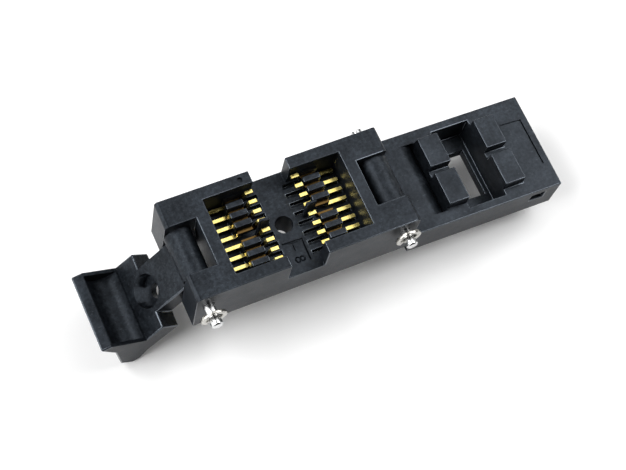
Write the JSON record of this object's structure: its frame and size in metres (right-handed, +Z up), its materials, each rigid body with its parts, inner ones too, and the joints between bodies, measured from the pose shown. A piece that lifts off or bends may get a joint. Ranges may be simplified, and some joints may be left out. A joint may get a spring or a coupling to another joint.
{
  "type": "ic programming adapter",
  "caption": "Clamshell test socket for small outline chips: dark moulded base with two rows of gold contacts, hinged windowed lid and a thumb latch, shown open.",
  "frame": {"origin": "board seat: a point on the underside of the base, on its middle plane, between the alignment hole and the hinge", "axes": "+X along the base from the latch end towards the lid hinge, +Y across to the side away from the pin clips, +Z up out of the board"},
  "size_m": [0.0599, 0.0167, 0.018],
  "materials": {
    "moulded_resin_dark": "glass-filled moulded resin, matt",
    "moulded_resin_lid": "glass-filled moulded resin, matt",
    "moulded_resin_latch": "glass-filled moulded resin, matt",
    "gold_plated_contact": "gold plated, bright",
    "bright_steel_pin": "bright drawn",
    "spring_steel_clip": "stamped, bright"
  },
  "bodies": {
    "base": {"base_housing": "moulded_resin_dark", "lid_hinge_pin": "bright_steel_pin", "latch_hinge_pin": "bright_steel_pin", "lid_pin_clip": "spring_steel_clip", "latch_pin_clip": "spring_steel_clip", "contact_01": "gold_plated_contact", "contact_02": "gold_plated_contact", "contact_03": "gold_plated_contact", "contact_04": "gold_plated_contact", "contact_05": "gold_plated_contact", "contact_06": "gold_plated_contact", "contact_07": "gold_plated_contact", "contact_08": "gold_plated_contact", "contact_09": "gold_plated_contact", "contact_10": "gold_plated_contact", "contact_11": "gold_plated_contact", "contact_12": "gold_plated_contact", "contact_13": "gold_plated_contact", "contact_14": "gold_plated_contact", "contact_15": "gold_plated_contact", "contact_16": "gold_plated_contact"},
    "lid_body": {"lid": "moulded_resin_lid"},
    "latch_body": {"latch": "moulded_resin_latch"}
  },
  "joints": [
    {"name": "lid_hinge", "type": "hinge", "parent": "base", "child": "lid_body", "pos_m": [0.00865, 0, 0.00555], "axis": [0, -1, 0], "range_deg": [0, 182.66]},
    {"name": "latch_hinge", "type": "hinge", "parent": "base", "child": "latch_body", "pos_m": [-0.0164, 0, 0.00525], "axis": [0, 1, 0], "range_deg": [0, 144.2]}
  ]
}
